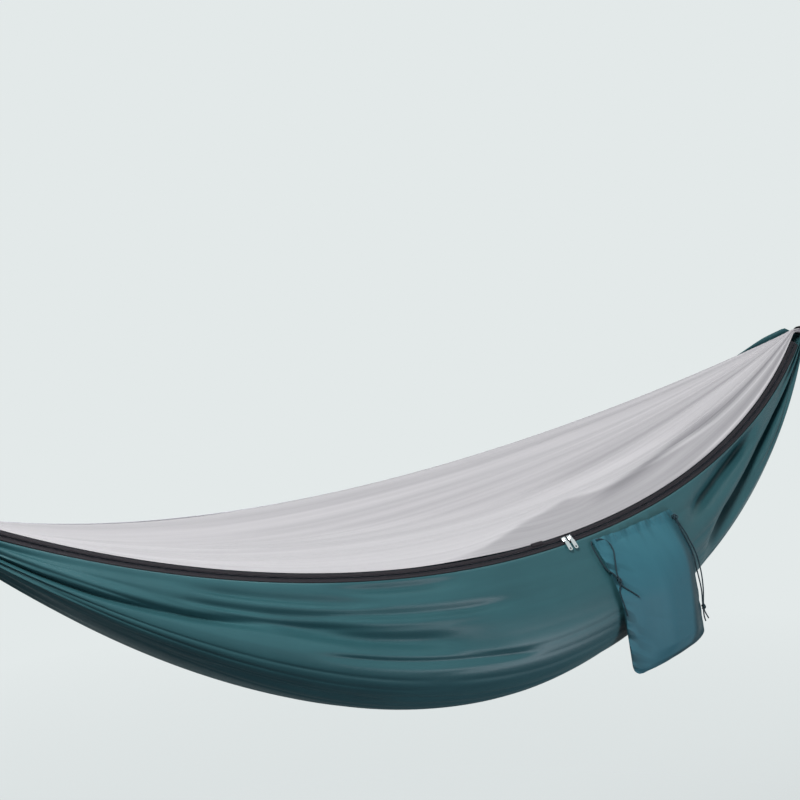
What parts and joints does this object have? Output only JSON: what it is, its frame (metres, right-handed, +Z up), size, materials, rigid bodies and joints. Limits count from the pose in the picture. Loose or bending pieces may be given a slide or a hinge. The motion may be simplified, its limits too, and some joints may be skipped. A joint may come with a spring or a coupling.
{
  "type": "hammock tent",
  "caption": "Gathered-end camping hammock with a sewn-in insect net, a two-way zip along one rim, a stuff sack and a carabiner at each end.",
  "frame": {"origin": "bearing spot inside the outer bow of the carabiner at the +X end", "axes": "+Z up, +X along the hammock towards the carabiner that holds the origin, -Y towards the zipped rim"},
  "size_m": [2.7216, 0.7659, 0.6288],
  "materials": {
    "body_cloth": "satin nylon",
    "sack_cloth": "satin nylon",
    "insect_net": "fine mesh",
    "zip_tape": "woven matte",
    "zip_coil": "moulded nylon",
    "zip_metal": "bright nickel",
    "drawcord": "braided",
    "black_rope": "braided",
    "carabiner_steel": "satin"
  },
  "bodies": {
    "anchors": {"carabiner_left": "carabiner_steel", "carabiner_right": "carabiner_steel", "gate_pin_left": "carabiner_steel", "gate_pin_right": "carabiner_steel"},
    "gate_left": {"gate_left": "carabiner_steel"},
    "gate_right": {"gate_right": "carabiner_steel"},
    "hammock": {"hammock_body": "body_cloth", "bug_net": "insect_net", "zip_tape_body": "zip_tape", "zip_tape_net": "zip_tape", "zip_coil_body": "zip_coil", "zip_coil_net": "zip_coil", "zip_stop_left": "zip_coil", "zip_stop_right": "zip_coil", "far_edge_binding": "insect_net", "net_tab": "zip_tape", "whipping_left": "black_rope", "whipping_right": "black_rope", "rope_loop_left": "black_rope", "rope_loop_right": "black_rope"},
    "slider_left": {"slider_left": "zip_metal"},
    "slider_right": {"slider_right": "zip_metal"},
    "pull_left": {"pull_left": "zip_metal"},
    "pull_right": {"pull_right": "zip_metal"},
    "sack": {"stuff_sack": "sack_cloth", "drawcord_left_a": "drawcord", "drawcord_left_b": "drawcord", "drawcord_left_tail_a": "drawcord", "drawcord_left_tail_b": "drawcord", "drawcord_knot_left": "drawcord", "drawcord_right_a": "drawcord", "drawcord_right_b": "drawcord", "drawcord_right_tail_a": "drawcord", "drawcord_right_tail_b": "drawcord", "drawcord_knot_right": "drawcord", "drawcord_knot_right_top": "drawcord"}
  },
  "joints": [
    {"name": "hammock_rock", "type": "hinge", "parent": "anchors", "child": "hammock", "pos_m": [-1.353, 0, 0], "axis": [1, 0, 0], "range_deg": [-35, 35]},
    {"name": "gate_left_open", "type": "hinge", "parent": "anchors", "child": "gate_left", "pos_m": [-2.6545, -0.00074, 0.01598], "axis": [0, -0.9989, -0.0462], "range_deg": [0, 25], "stiffness_Nm_per_rad": 0.3, "springref_deg": -11.46},
    {"name": "gate_right_open", "type": "hinge", "parent": "anchors", "child": "gate_right", "pos_m": [-0.0515, -0.00074, 0.01598], "axis": [0, 0.9989, 0.0462], "range_deg": [0, 25], "stiffness_Nm_per_rad": 0.3, "springref_deg": -11.46},
    {"name": "slider_left_run", "type": "hinge", "parent": "hammock", "child": "slider_left", "pos_m": [-1.353, 1.09572, 1.05369], "axis": [0, 0.6839, -0.7296], "range_deg": [0, 37.5]},
    {"name": "slider_right_run", "type": "hinge", "parent": "hammock", "child": "slider_right", "pos_m": [-1.353, 1.09572, 1.05369], "axis": [0, -0.6839, 0.7296], "range_deg": [0, 31.4]},
    {"name": "pull_left_swing", "type": "hinge", "parent": "slider_left", "child": "pull_left", "pos_m": [-1.25956, -0.2908, -0.24016], "axis": [-0.9988, -0.0359, -0.0337], "range_deg": [0, 150]},
    {"name": "pull_right_swing", "type": "hinge", "parent": "slider_right", "child": "pull_right", "pos_m": [-1.24365, -0.29018, -0.23958], "axis": [-0.9983, -0.042, -0.0394], "range_deg": [0, 150]},
    {"name": "sack_swing", "type": "hinge", "parent": "hammock", "child": "sack", "pos_m": [-1.07, -0.28767, -0.24838], "axis": [-0.9962, -0.074, -0.0468], "range_deg": [0, 95]}
  ]
}
